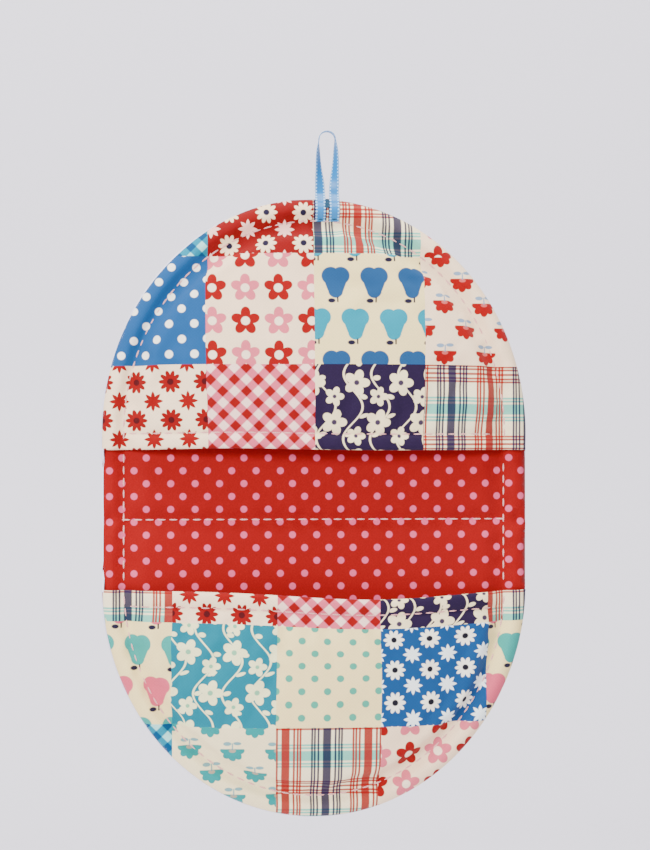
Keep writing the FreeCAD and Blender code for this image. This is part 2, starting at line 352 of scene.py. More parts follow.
print(f"lip radius {LIP} mm, then {TURN_IN} mm of cloth turned in")

# %% [markdown]
# ## Cutting the cloth
#
# A good cloth mesh has even triangles, and it has edges exactly where something happens: along the
# rim, the rows of stitches and the borders between patches. A constrained triangulation gives both.
# It takes the lines that have to be kept and fills the rest from a honeycomb of points.

# %% Lines that the mesh keeps
def evenly(distance):
    """An edge or a depth that is the same everywhere."""
    return lambda u, v: np.full_like(u, distance)


def line_between(start, end, step):
    """Points along a straight line."""
    start, end = np.array(start, float), np.array(end, float)
    count = max(int(round(np.linalg.norm(end - start) / step)), 1)
    return start + (end - start) * np.linspace(0, 1, count + 1)[:, None]


def rim_reach(row, side, edge):
    """Where a level line meets the cloth's edge on one side."""
    beyond = max(abs(row) - SIDE / 2, 0) / END_RISE
    reach = side * HALF_WIDTH * math.sqrt(max(1 - beyond ** 2, 0))
    return reach - side * float(edge(np.array([reach]), np.array([row]))[0])


def kept_runs(chain, low, high):
    """The stretches of a closed ring that lie between two heights."""
    keep = (chain[:, 1] > low + 0.4) & (chain[:, 1] < high - 0.4)
    if keep.all():
        return [chain]
    start = int(np.argmin(keep))
    chain, keep = np.roll(chain[:-1], -start, 0), np.roll(keep[:-1], -start)
    cuts = np.flatnonzero(np.diff(keep.astype(int))) + 1
    runs = zip(np.split(chain, cuts), np.split(keep, cuts))
    return [run for run, kept in runs if kept.all() and len(run) > 1]


print(f"level with the middle the stitches are {rim_reach(0.0, 1, evenly(STITCH_IN)):.1f} mm out")

# %% [markdown]
# ## Triangles between the lines
#
# A honeycomb of points gives triangles with nearly equal sides, which bend the same in every direction.
# Points close to a kept line are left out, so no triangle there is thin. A plain grid would be simpler,
# but cloth made of squares folds along the grid.

# %% Cut a flat piece
GRID = 3.0  # spacing of the honeycomb
WELD = 0.02  # points nearer than this become one
LONGEST = 2.5  # no edge is longer than this many spacings


def cut_cloth(low, high, edge, rings, rows=(), columns=(), spacing=GRID):
    """Triangles over the oval between two heights, inside an edge that is edge(u, v) in from the rim.

    rings are more distances inside the rim, rows are heights, and columns are (u, lowest, highest)."""
    chains = kept_runs(np.column_stack(rim_path(spacing, edge)), low, high)
    for inset in rings:
        chains += kept_runs(np.column_stack(rim_path(spacing, evenly(inset))), low, high)
    straight = [(row, 0.0) for row in (low, high) if abs(row) < HALF_HEIGHT - 1]
    straight += [(row, 0.3) for row in rows]
    for row, short in straight:
        left, right = rim_reach(row, -1, edge) + short, rim_reach(row, 1, edge) - short
        chains.append(line_between((left, row), (right, row), spacing))
    for u, bottom, top in columns:
        chains.append(line_between((u, bottom), (u, top), spacing))
    fixed = np.concatenate(chains)
    edges, count = [], 0
    for chain in chains:
        edges += [(count + i, count + i + 1) for i in range(len(chain) - 1)]
        count += len(chain)
    across = np.arange(-HALF_WIDTH, HALF_WIDTH, spacing)
    levels = np.arange(-HALF_HEIGHT, HALF_HEIGHT, spacing * math.sqrt(3) / 2)
    comb = np.concatenate([np.column_stack([across + (j % 2) * spacing / 2, np.full_like(across, v)])
                           for j, v in enumerate(levels)])
    d, _, _ = edge_facts(comb[:, 0], comb[:, 1])
    margin = spacing / 2
    inside = (d > max(rings) + margin) & (comb[:, 1] > low + margin) & (comb[:, 1] < high - margin)
    comb = comb[inside]
    gap = np.array([np.hypot(*(fixed - point).T).min() for point in comb])
    comb = comb[gap > spacing * 0.55]
    found = delaunay_2d_cdt([Vector(p) for p in np.concatenate([fixed, comb])], edges, [], 0, WELD)
    points, faces = np.array([tuple(p) for p in found[0]]), np.array(found[2])
    # Along a straight edge the triangulation adds long slivers that would span the fold, so they go.
    longest = np.linalg.norm(points[faces] - points[np.roll(faces, 1, 1)], axis=2).max(1)
    return points, faces[longest < LONGEST * spacing].tolist()


def flat_area(points, faces):
    """Area of a flat piece, in square metres."""
    a, b, c = (points[np.array(faces)[:, i]] for i in range(3))
    return float(np.abs(np.cross(b - a, c - a)).sum() / 2 * MM ** 2)


print(f"triangles of about {GRID} mm")

# %% [markdown]
# ## From the flat piece to the sewn one
#
# The cloths that show go the same way. The flat mesh is laid over the wadding by a shape function.
# Blender's cloth simulation then lets it relax: it starts a little too large for its place, as gathered
# cloth is, and is held along its seams, so it buckles into soft waves. How far it may move is capped.
# Last, the flat mesh and the moves are both divided once more and put together, which keeps the rim
# and the stitch rows exact while the waves stay smooth.

# %% Mesh helpers
scene = bpy.context.scene


def mesh_object(name, points, faces):
    """A new object from points in metres."""
    mesh = bpy.data.meshes.new(name)
    mesh.from_pydata([tuple(p) for p in points], [], faces)
    piece = bpy.data.objects.new(name, mesh)
    scene.collection.objects.link(piece)
    return piece


def coordinates(mesh):
    found = np.zeros(len(mesh.vertices) * 3)
    mesh.vertices.foreach_get("co", found)
    return found.reshape(-1, 3)


def applied(piece):
    """A copy of a piece's mesh with its modifiers applied."""
    graph = bpy.context.evaluated_depsgraph_get()
    shaped = piece.evaluated_get(graph)
    return bpy.data.meshes.new_from_object(shaped, preserve_all_data_layers=True, depsgraph=graph)


def thickened(piece, thickness, offset):
    """Turn a bare surface into a solid layer, thickness in millimetres."""
    shell = piece.modifiers.new("Thickness", "SOLIDIFY")
    shell.thickness = thickness * MM
    shell.offset = offset
    solid = applied(piece)
    piece.modifiers.clear()
    piece.data = solid


def smooth(piece):
    piece.data.polygons.foreach_set("use_smooth", np.ones(len(piece.data.polygons), bool))


def divided(points, faces, kind, patches):
    """The same surface with every triangle cut into three, flat or smoothed."""
    helper = mesh_object("helper", points, faces)
    helper.data.attributes.new("patch", "INT", "FACE").data.foreach_set("value", patches)
    cut = helper.modifiers.new("Divide", "SUBSURF")
    cut.subdivision_type = kind
    cut.levels = 1
    mesh = applied(helper)
    bpy.data.objects.remove(helper)
    return mesh


def store_flat(mesh, u, v):
    """Keep the flat place of every point, so that prints stay put when the cloth bends."""
    held = mesh.attributes.new("cloth", "FLOAT_VECTOR", "POINT")
    held.data.foreach_set("vector", np.column_stack([u, v, 0 * u]).ravel())


print("helpers for meshes are ready")

# %% Let the cloth relax
FRAMES = 16
EASE_IN = 0.03  # how much larger the cloth is than its place
MOST_OUT = 1.6  # how far a point may move out, in millimetres
MOST_IN = 0.5


def relax(name, points, faces, held, outward):
    """Moves of the points, in millimetres, after the held cloth has settled. outward is the sign along Y."""
    piece = mesh_object(name, points, faces)
    group = piece.vertex_groups.new(name="sewn")
    for i, weight in enumerate(held):
        group.add([i], float(weight), "REPLACE")
    cloth = piece.modifiers.new("Cloth", "CLOTH")
    settings = cloth.settings
    settings.quality = 8
    settings.mass = 0.02
    settings.tension_stiffness = 20
    settings.compression_stiffness = 20
    settings.shear_stiffness = 8
    settings.bending_stiffness = 0.4
    settings.shrink_min = -EASE_IN
    settings.vertex_group_mass = "sewn"
    settings.effector_weights.gravity = 0
    cloth.point_cache.frame_end = FRAMES
    for number in range(1, FRAMES + 1):
        scene.frame_set(number)
    moves = (coordinates(applied(piece)) - points) / MM
    scene.frame_set(1)
    bpy.data.objects.remove(piece)
    moves[:, 1] = np.clip(moves[:, 1] * outward, -MOST_IN, MOST_OUT) * outward
    moves[:, (0, 2)] = np.clip(moves[:, (0, 2)], -1.0, 1.0)
    moves *= (1 - held)[:, None]
    print(f"{name}: moved up to {np.abs(moves).max():.2f} mm")
    return moves


print(f"cloth: {FRAMES} frames each, {EASE_IN:.0%} of ease")

# %% [markdown]
# ## Sewing a cut into its place
#
# The flat mesh is divided without smoothing, so its border lines stay where they were cut. The moves
# from the simulation are divided with smoothing, so the waves have no corners. Their sum gets the
# thickness of cloth on its inner side, and every point remembers its flat place for the print.


# %% Sew a flat cut
def face_out(piece, outward):
    """Turn every face to the cloth's outer side."""
    mesh = piece.data
    mesh.update()
    middle = sum(face.normal.y * face.area for face in mesh.polygons) * outward
    if middle < 0:
        mesh.flip_normals()


def sew(name, cut, shape, outward, held=None, patch_of=None, thick=0.35):
    """Shape, relax and divide a flat cut, then give it the thickness of cloth, on its inner side."""
    flat, faces = cut
    u, v = flat.T
    centres = flat[np.array(faces)].mean(1)
    patches = np.zeros(len(faces), int) if patch_of is None else patch_of(*centres.T)
    moves = np.zeros((len(flat), 3)) if held is None else relax(name, shape(u, v), faces, held(u, v), outward)
    fine = divided(np.column_stack([flat, 0 * u]), faces, "SIMPLE", patches)
    smooth = divided(moves, faces, "CATMULL_CLARK", patches)
    fine_u, fine_v, _ = coordinates(fine).T
    points = shape(fine_u, fine_v) + coordinates(smooth) * MM
    fine.vertices.foreach_set("co", points.ravel())
    store_flat(fine, fine_u, fine_v)
    piece = bpy.data.objects.new(name, fine)
    piece.data.name = name
    scene.collection.objects.link(piece)
    face_out(piece, outward)
    thickened(piece, thick, -1)
    piece["area"] = flat_area(flat, faces)
    print(f"{name}: {len(piece.data.polygons)} faces, cut from {piece['area'] * 1e4:.0f} square cm")
    return piece


def print_patches(piece, patches):
    """Give each face the material of its patch."""
    for material in patches:
        piece.data.materials.append(material)
    mesh = piece.data
    index = np.zeros(len(mesh.polygons), int)
    mesh.attributes["patch"].data.foreach_get("value", index)
    mesh.polygons.foreach_set("material_index", index)
    smooth(piece)


print("ready to sew")

# %% [markdown]
# ## Shader sums as Python sums
#
# The prints are drawn by the shader, so no picture is needed and they stay sharp at any distance. Node
# maths is hard to read when it is wired by hand, so one small class lets a socket take part in
# ordinary sums: `1 - mask` makes a Math node and links it. A second class holds one material and has a
# method for any other node.


# %% Sockets that can be added up
class Wire:
    """A socket of a material, for use in ordinary sums."""

    def __init__(self, bench, socket):
        self.bench = bench
        self.socket = socket

    def __add__(self, other):
        return self.bench.maths("ADD", self, other)

    def __sub__(self, other):
        return self.bench.maths("SUBTRACT", self, other)

    def __rsub__(self, other):
        return self.bench.maths("SUBTRACT", other, self)

    def __mul__(self, other):
        return self.bench.maths("MULTIPLY", self, other)

    def __truediv__(self, other):
        return self.bench.maths("DIVIDE", self, other)

    __radd__ = __add__
    __rmul__ = __mul__


print("sockets add up")

# %% [markdown]
# ## Mixing dyes
#
# The display squeezes bright, strong colours towards white, as film does. Cotton prints are strong, so
# each dye is mixed stronger and darker than it should look, and the display brings it back.

# %% Mix a dye
STRENGTH = 1.35  # the display pales strong colours, so dyes are mixed this much stronger
DEPTH = 0.58  # and the strongest are made darker by this share


def paint(code, share=1.0):
    """A colour such as "CC0A12" as linear red, green, blue and alpha, or a darker share of it."""
    parts = [int(code[i:i + 2], 16) / 255 for i in (0, 2, 4)]
    linear = [c / 12.92 if c <= 0.04045 else ((c + 0.055) / 1.055) ** 2.4 for c in parts]
    grey = 0.21 * linear[0] + 0.72 * linear[1] + 0.07 * linear[2]
    depth = 1 - DEPTH * (1 - min(linear) / max(linear)) ** 2
    return tuple(min(max(grey + (c - grey) * STRENGTH, 0.0), 1.0) * depth * share for c in linear) + (1.0,)


print("a plain red becomes", [round(part, 2) for part in paint("C01020")[:3]])

# %% [markdown]
# ## A bench for each material
#
# A bench holds one material while it is made. Its `node` method makes any node: the settings come
# first, because they decide which sockets a node has. The others are short names for common steps.


# %% The bench
class Bench:
    """One material, with a method for each kind of step."""

    def __init__(self, name, roughness=0.85, sheen=0.05, specular=0.15):
        self.material = bpy.data.materials.new(name)
        self.material.use_nodes = True
        self.tree = self.material.node_tree
        self.shader = next(n for n in self.tree.nodes if n.type == "BSDF_PRINCIPLED")
        self.shader.inputs["Roughness"].default_value = roughness
        self.shader.inputs["Sheen Weight"].default_value = sheen
        self.shader.inputs["Specular IOR Level"].default_value = specular

    def node(self, kind, settings, inputs, output=0):
        """Any node: its settings first, then the values or links of its sockets."""
        made = self.tree.nodes.new(kind)
        for key, value in settings.items():
            setattr(made, key, value)
        for key, value in inputs.items():
            if isinstance(value, Wire):
                self.tree.links.new(value.socket, made.inputs[key])
            else:
                made.inputs[key].default_value = value
        return Wire(self, made.outputs[output])

    def maths(self, operation, *values, clamp=False):
        settings = {"operation": operation, "use_clamp": clamp}
        return self.node("ShaderNodeMath", settings, dict(enumerate(values)))

    def mix(self, first, second, factor):
        """A colour between two colours."""
        return self.node("ShaderNodeMix", {"data_type": "RGBA"}, {0: factor, 6: first, 7: second}, 2)

    def flat_place(self):
        """The flat place of the cloth, in millimetres."""
        place = self.node("ShaderNodeAttribute", {"attribute_name": "cloth"}, {}, 1)
        split = self.node("ShaderNodeSeparateXYZ", {}, {0: place})
        return Wire(self, split.socket.node.outputs[0]), Wire(self, split.socket.node.outputs[1]), place

    def step(self, amount, soft=0.3):
        """0 where amount is negative and 1 where it is positive, with a soft edge in millimetres."""
        return self.maths("MULTIPLY_ADD", amount, 1 / soft, 0.5, clamp=True)

    def larger(self, first, second):
        return self.maths("MAXIMUM", first, second)

    def size(self, x, y):
        """Length of (x, y)."""
        return self.maths("SQRT", x * x + y * y)

    def noise(self, place, scale, detail=2.0):
        return self.node("ShaderNodeTexNoise", {}, {"Vector": place, "Scale": scale, "Detail": detail})

    def use(self, socket, wire):
        self.tree.links.new(wire.socket, self.shader.inputs[socket])

    def bump(self, strength, distance, height):
        """Fine relief, distance in millimetres."""
        sockets = {"Strength": strength, "Distance": distance * MM, "Height": height}
        self.use("Normal", self.node("ShaderNodeBump", {}, sockets))


print("the bench is ready")

# %% [markdown]
# ## Woven cotton
#
# Under every print is the same plain cotton: threads that pass over and under each other, a little lint
# and colour that is never quite even. The weave is far finer than any fold, so here bump is right; it also
# puts a little painted shading into the colour.

# %% Finish a cotton
THREAD_PITCH = 0.62  # from one thread to the next, in millimetres


def finish_cotton(bench, colour):
    """Weave with painted shading, lint and uneven dye over a colour, then link it all to the shader."""
    u, v, place = bench.flat_place()
    over = bench.maths("SINE", u * (math.pi / THREAD_PITCH))
    under = bench.maths("SINE", v * (math.pi / THREAD_PITCH))
    threads = over * under
    lint = bench.noise(place, 1.7, 3.0)
    cloudy = bench.noise(place, 0.09, 2.0)
    # The threads term is painted shading of the weave; lint and cloudy are uneven dye.
    weave_shade_and_uneven_dye = threads * 0.03 + (lint - 0.5) * 0.16 + (cloudy - 0.5) * 0.10 + 0.97
    toned = bench.node("ShaderNodeVectorMath", {"operation": "SCALE"}, {0: colour, "Scale": weave_shade_and_uneven_dye})
    bench.use("Base Color", toned)
    bench.use("Roughness", 0.80 + (lint - 0.5) * 0.25)
    bench.bump(0.35, 0.08, threads * 0.5 + lint * 0.8)
    return bench.material


def plain_cotton(name, code):
    """A cotton of one colour."""
    bench = Bench(name)
    _, _, place = bench.flat_place()
    return finish_cotton(bench, bench.mix(paint(code), paint(code, 0.93), bench.noise(place, 0.35)))


# %% [markdown]
# ## Drawing prints on a lattice
#
# Dress prints repeat. Divide the cloth into cells, work out the place inside a cell, and draw one motif
# there: a dot is a distance, a flower is a distance that changes with the angle, and a check is a
# square wave. Every print below is made from these, with its own sizes and colours.


# %% Lattice, disc and flower
def lattice(bench, u, v, pitch_u, pitch_v, shift=0.5):
    """Place inside a cell, then the cell's column and row. Each row is moved along by shift."""
    down = v / pitch_v
    row = bench.maths("FLOOR", down)
    across = u / pitch_u + row * shift
    column = bench.maths("FLOOR", across)
    return (across - column - 0.5) * pitch_u, (down - row - 0.5) * pitch_v, column, row


def odd(bench, count):
    """1 where a whole number is odd."""
    return bench.maths("PINGPONG", count, 1.0)


def flower(bench, x, y, petals, reach, waist):
    """A flower's mask: its radius swings between waist * reach and reach, once a petal."""
    swing = bench.maths("ABSOLUTE", bench.maths("COSINE", bench.maths("ARCTAN2", y, x) * (petals / 2)))
    return bench.step(swing * (reach * (1 - waist)) + reach * waist - bench.size(x, y))


def star(bench, x, y, points, reach, waist):
    """A star's mask: straight edges from each point, at reach, to the waist * reach between points."""
    turn = bench.maths("PINGPONG", bench.maths("ARCTAN2", y, x), math.pi / points)
    return bench.step(reach - turn * (reach * (1 - waist) * points / math.pi) - bench.size(x, y))


def disc(bench, x, y, radius):
    return bench.step(radius - bench.size(x, y))


def bar(bench, x, y, half_wide, half_long):
    within = bench.step(half_wide - bench.maths("ABSOLUTE", x))
    return within * bench.step(half_long - bench.maths("ABSOLUTE", y))


print("motifs: flower, star, disc and bar")

# %% [markdown]
# ## Dots, checks and plaids
#
# A check is two square waves laid over each other: where both are on, the colour is deepest, just as
# dyed threads cross in woven gingham. A plaid does the same with groups of stripes.


# %% Draw dots and stripes
def dots(ground, dot, diameter, pitch_u, pitch_v):
    def draw(bench, u, v):
        x, y, _, _ = lattice(bench, u, v, pitch_u, pitch_v)
        return bench.mix(paint(ground), paint(dot), disc(bench, x, y, diameter / 2))
    return draw


def square_wave(bench, x, period):
    """Half on and half off along x."""
    return bench.step(0.25 * period - bench.maths("PINGPONG", x, period / 2))


BIAS = 0.7071  # turns a print by 45 degrees


def checks(light, middle, dark, period):
    """Gingham on the bias."""
    def draw(bench, u, v):
        one = square_wave(bench, (u + v) * BIAS, period)
        two = square_wave(bench, (v - u) * BIAS, period)
        pale = bench.mix(paint(light), paint(middle), one)
        deep = bench.mix(paint(middle), paint(dark), one)
        return bench.mix(pale, deep, two)
    return draw


def stripe_group(bench, x, period, offset, half_wide, lines):
    """A wide stripe with thin lines on both sides of it, repeated along x."""
    away = bench.maths("PINGPONG", x + offset, period / 2)
    mask = bench.step(half_wide - away)
    for line in lines:
        mask = bench.larger(mask, bench.step(0.36 - bench.maths("ABSOLUTE", away - line)))
    return mask


def plaid(bench, u, v):
    """Cream crossed by turquoise and red, then by navy and red uprights."""
    colour = paint("F6EACB")
    colour = bench.mix(colour, paint("7CC4B4"), stripe_group(bench, v, 26.0, 0.0, 1.9, (3.0, 4.1)) * 0.9)
    colour = bench.mix(colour, paint("BC0C28"), stripe_group(bench, v, 26.0, 13.0, 0.4, (1.7, 2.8)) * 0.9)
    upright = stripe_group(bench, u, 30.0, 0.0, 1.5, (3.1, 4.4, 5.4))
    colour = bench.mix(colour, paint("1C1440"), upright * 0.95)
    return bench.mix(colour, paint("BC0824"), stripe_group(bench, u, 30.0, 15.0, 1.5, (3.1, 4.4, 5.4)) * 0.95)


print("prints: dots, checks and plaid")

# %% [markdown]
# ## Flowers, fruit and vines
#
# These prints lay a few motifs over each other in one cell, ground first. Two lattices, half a cell
# apart, give a print with two kinds of flower. For the vine the cloth is bent by a slow wave before the
# cells are worked out, so straight stems come out curling.


# %% Draw flowers and fruit
def five_petals(ground, first, second, heart):
    def draw(bench, u, v):
        x, y, column, row = lattice(bench, u, v, 12.0, 12.3, 0.0)
        tint = bench.mix(paint(first), paint(second), odd(bench, column + row))
        colour = bench.mix(paint(ground), tint, flower(bench, y, x, 5, 5.3, 0.55))
        return bench.mix(colour, paint(heart), disc(bench, x, y, 1.6))
    return draw


def daisies(ground, petal, heart, pale, pitch_u, pitch_v, reach):
    """Daisies with stars between them."""
    def draw(bench, u, v):
        x, y, _, _ = lattice(bench, u, v, pitch_u, pitch_v, 0.0)
        colour = bench.mix(paint(ground), paint(petal), flower(bench, x, y, 10, reach, 0.62))
        colour = bench.mix(colour, paint(heart), disc(bench, x, y, 1.15))
        x, y, _, _ = lattice(bench, u + pitch_u / 2, v + pitch_v / 2, pitch_u, pitch_v, 0.0)
        return bench.mix(colour, paint(pale), star(bench, x, y, 8, reach * 0.9, 0.5))
    return draw


def pears(ground, first, second, stem):
    """Rows of pears that hang upside down, each row in one colour."""
    def draw(bench, u, v):
        x, y, _, row = lattice(bench, u, v, 14.0, 15.5)
        side = bench.maths("ABSOLUTE", x)
        shoulders = disc(bench, side - 1.8, y - 2.7, 3.3)
        neck = disc(bench, x, y + 2.9, 2.7)
        flank = bench.step((y + 3.2) * 0.36 + 2.7 - side) * bench.step(2.8 - bench.maths("ABSOLUTE", y + 0.2))
        body = bench.larger(bench.larger(shoulders, neck), flank)
        leaf = disc(bench, (x + 1.5) * 0.62, y + 6.6, 0.85)
        stalk = bar(bench, x - 0.7, y + 6.2, 0.3, 1.0)
        tint = bench.mix(paint(first), paint(second), odd(bench, row))
        colour = bench.mix(paint(ground), tint, body)
        return bench.mix(colour, paint(stem), bench.larger(stalk, leaf))
    return draw


def half_flowers(ground, petal, heart, sprig):
    """Blossoms seen from the side, hanging under two leaves."""
    def draw(bench, u, v):
        x, y, _, _ = lattice(bench, u, v, 16.4, 9.3)
        bloom = flower(bench, x, y - 0.6, 8, 4.5, 0.78) * bench.step(1.2 - y)
        colour = bench.mix(paint(ground), paint(petal), bloom)
        colour = bench.mix(colour, paint(heart), disc(bench, x * 0.8, (y - 0.5) * 1.4, 1.0) * 0.6)
        leaves = bench.larger(disc(bench, (x + 1.9) * 0.8, (y - 3.1) * 1.6, 1.2),
                              disc(bench, (x - 1.8) * 0.8, (y - 3.3) * 1.9, 1.2))
        stalk = bar(bench, x, y - 2.1, 0.25, 1.3)
        return bench.mix(colour, paint(sprig), bench.larger(stalk, leaves) * 0.85)
    return draw


def vine(ground, ink, heart, pitch):
    """Large and small blossoms among thin curling stems with leaves."""
    def draw(bench, u, v):
        curl = bench.maths("SINE", v * (2 * math.pi / (pitch * 1.9))) * (pitch * 0.28)
        x, y, _, _ = lattice(bench, u + curl, v, pitch * 0.8, pitch * 0.55, 0.0)
        stem = bench.step(0.38 - bench.maths("ABSOLUTE", x))
        leaf = disc(bench, (x - 2.0) * 0.75 + y * 0.3, y * 1.3 - x * 0.4, 1.15)
        mask = bench.larger(stem, leaf)
        hearts = 0.0
        for shift, reach in ((0.0, 4.8), (pitch, 3.6)):
            x, y, _, _ = lattice(bench, u + shift * 0.65, v + shift * 0.4, pitch * 1.3, pitch * 1.15)
            mask = bench.larger(mask, flower(bench, x, y, 5, reach, 0.56))
            hearts = bench.larger(hearts, disc(bench, x, y, reach * 0.2))
        return bench.mix(bench.mix(paint(ground), paint(ink), mask), paint(heart), hearts)
    return draw


print("prints: petals, daisies, pears, half flowers and vine")

# %% [markdown]
# ## The seventeen prints
#
# A patch's print is one drawing with its own dyes, sizes and place. The lattice is moved so that the
# motifs are cut by the seams as they are on the real patches.


# %% Dye the prints
def printed(name, draw, shift_u=0.0, shift_v=0.0):
    """A cotton with a print, whose lattice may be moved."""
    bench = Bench(name)
    u, v, _ = bench.flat_place()
    return finish_cotton(bench, draw(bench, u + shift_u, v + shift_v))


CREAM = "F9E6B6"
RED_DOTS = printed("red cotton with pink dots", dots("B4001E", "FF7C98", 2.6, 9.1, 4.8), -0.6, -2.0)
ROSE = five_petals("F8E0C4", "B40A24", "DE7F8A", "FBE6D0")
PRINTS = {
    "teal check": printed("teal checked cotton", checks("A9D8D4", "3F9DB4", "15608E", 6.0)),
    "red daisy": printed("red cotton with daisies",
                         daisies("A00018", "F8E2C2", "1E1830", "F6C9BC", 13.8, 12.6, 4.1), -2.3, -3.4),
    "plaid right": printed("cream plaid cotton, right", plaid, 9.9, 15.1),
    "plaid top": printed("cream plaid cotton, top", plaid, -0.8, 5.2),
    "plaid bottom": printed("cream plaid cotton, bottom", plaid, -3.7, 12.8),
    "rose petals": printed("cream cotton with red and pink flowers", ROSE, -4.1, -1.0),
    "blue dots": printed("blue cotton with white dots", dots("3A6294", "F4F0E4", 3.0, 9.3, 5.5), 2.6, 1.0),
    "blue pears": printed("cream cotton with blue pears",
                          pears(CREAM, "36B0C4", "385A84", "1E1A30"), 7.1, 2.35),
    "red sprigs": printed("cream cotton with red half flowers",
                          half_flowers("F8E0C4", "BC1028", "E88A84", "6A93B4"), 10.3, 3.5),
    "brick daisy": printed("cream cotton with brick daisies",
                           daisies("F8E2C6", "A81028", "5A0618", "AE1228", 12.9, 14.2, 4.2), -4.35, 2.9),
    "pink check": printed("pink checked cotton", checks("F9D8CC", "DE7C8A", "AE0828", 6.1)),
    "navy vine": printed("navy cotton with cream blossoms",
                         vine("241634", "F6E8C4", "3A3040", 12.5), 2.0, 4.0),
    "pink pears": printed("cream cotton with pink pears",
                          pears(CREAM, "5FA69C", "DE7484", "1E1A30"), 3.1, -1.65),
    "turquoise vine": printed("turquoise cotton with cream blossoms",
                              vine("189AAC", "F2EFC6", "8FB89A", 13.0), 5.0),
    "grey dots": printed("cream cotton with grey green dots", dots(CREAM, "68A894", 2.7, 9.3, 4.9), 1.0, 0.5),
    "blue daisy": printed("blue cotton with white daisies",
                          daisies("34588A", "F6F2E4", "14121C", "EAF0EE", 13.5, 12.5, 4.0), 5.4, 2.6),
    "teal sprigs": printed("cream cotton with teal half flowers",
                           half_flowers("F3E6C2", "4F9896", "C8A48C", "5E9AA8"), 6.0, 1.0),
}
PLAIN_BACK = plain_cotton("plain back cotton", "E4E1EE")
print(len(PRINTS), "prints for the patches")

# %% [markdown]
# ## The patchwork
#
# Each pocket was cut from one piece of patchwork. The seams between patches are straight, so the cut
# has edges along them, and a table says which print fills each patch, row by row from the mouth.

# %% The patches of each pocket
COLUMNS = {UPPER: (-40.3, -0.9, 39.6), LOWER: (-53.5, -14.8, 23.4, 64.5)}
ROWS = {UPPER: (53.0, 94.0), LOWER: (-41.8, -80.2)}
PATCHES = {
    UPPER: (("brick daisy", "pink check", "navy vine", "plaid right"),
            ("blue dots", "rose petals", "blue pears", "red sprigs"),
            ("teal check", "red daisy", "plaid top", "rose petals")),
    LOWER: (("plaid right", "brick daisy", "pink check", "navy vine", "plaid right"),
            ("pink pears", "turquoise vine", "grey dots", "blue daisy", "pink pears"),
            ("teal check", "teal sprigs", "plaid bottom", "rose petals", "teal check")),
}


def patch_finder(half):
    """Which patch a flat place lies in, counted along the rows from the mouth."""
    def find(u, v):
        row = sum((half * v > half * border).astype(int) for border in ROWS[half])
        column = sum((u > border).astype(int) for border in COLUMNS[half])
        return row * len(PATCHES[half][0]) + column
    return find


# %% [markdown]
# ## The two pockets
#
# A pocket is a sandwich: printed cloth outside, wadding, and the red lining inside. The printed cloth
# is cut with a strip to spare at its mouth, which the lip winds round the wadding.

# %% Sew the pocket cloths
RINGS = (0.5, 1.4, 2.8, RIM, 6.6, STITCH_IN)
GROOVE = 1.2  # the mesh has rows this far to both sides of the hem's stitches
HEM_ROWS = (HEM - GROOVE, HEM, HEM + GROOVE)
LIP_ROWS = tuple(LIP * (1 - math.pi * k / 4) for k in range(5))
LIP_END = -LIP * (math.pi - 1) - TURN_IN
body_of_half = {UPPER: "upper_half", LOWER: "lower_half"}
half_name = {UPPER: "upper", LOWER: "lower"}


def pocket_held(half):
    """A pocket's cloth is held by the edge stitches and by its stitched hem."""
    def held(u, v):
        d, _, _ = edge_facts(u, v)
        inside = half * (v - MOUTH[half])
        return np.maximum(1 - ease((d - STITCH_IN) / 5), 1 - ease((inside - HEM - 1) / 6))
    return held


def make_pocket_cloth(half):
    name = f"{half_name[half]}_pocket_print"
    bottom, top = sorted((MOUTH[half] + half * LIP_END, half * HALF_HEIGHT))
    rows = [MOUTH[half] + half * row for row in LIP_ROWS + HEM_ROWS] + list(ROWS[half])
    columns = []
    for u in COLUMNS[half]:
        tip = SIDE / 2 + END_RISE * math.sqrt(1 - (u / HALF_WIDTH) ** 2) - 0.6
        columns.append((u, *sorted((MOUTH[half] + half * LIP_END, half * tip))))
    cut = cut_cloth(bottom, top, seam_inset, RINGS, rows, columns)
    piece = sew(name, cut, pocket_shape(half), -1, pocket_held(half), patch_finder(half))
    print_patches(piece, [PRINTS[patch] for row in PATCHES[half] for patch in row])
    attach(piece, body_of_half[half])
    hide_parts(f"{half_name[half]}_pocket_cloth")
    (top - bottom) * MM


for half in (UPPER, LOWER):
    make_pocket_cloth(half)

# %% [markdown]
# ## Wadding, lining and liner
#
# These layers are mostly hidden, but they set how thick the mitt looks at its mouths and when it folds.
# A wadding is a closed pad between two shapes. Each keeps clear of the cloth on both its sides.

# %% Fill the space between two cloths
CLEAR = 0.95  # from a cloth's outside to the layer under it, with room for the cloth to settle
LINER = 0.4  # room for the heat liner
LIP_CLEAR = 0.45  # from the turned-in edge to the lining


def fill_between(name, cut, front, back):
    """A closed pad between two shapes."""
    flat, faces = cut
    u, v = flat.T
    count = len(flat)
    sides = dict.fromkeys((a, b) for face in faces for a, b in zip(face, face[1:] + face[:1]))
    edges = [(a, b) for a, b in sides if (b, a) not in sides]  # a side of one face only is on the edge
    shell = [tuple(reversed(face)) for face in faces] + [tuple(i + count for i in face) for face in faces]
    shell += [(a, b, b + count, a + count) for a, b in edges]
    piece = mesh_object(name, np.concatenate([front(u, v), back(u, v)]), shell)
    store_flat(piece.data, np.tile(u, 2), np.tile(v, 2))
    print(f"{name}: {len(shell)} faces")
    return piece


def finish_layer(piece, material, slot, *nodes):
    piece.data.materials.append(material)
    smooth(piece)
    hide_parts(*nodes)


print(f"layers keep {CLEAR} mm from the cloth outside them")

# %% [markdown]
# ## Two hidden materials
#
# Wadding is matted fibre, so its noise is fine and its surface is as rough as can be. The heat liner is a
# thin cloth with a metal coat, embossed in small squares, so it is smoother and partly metallic.


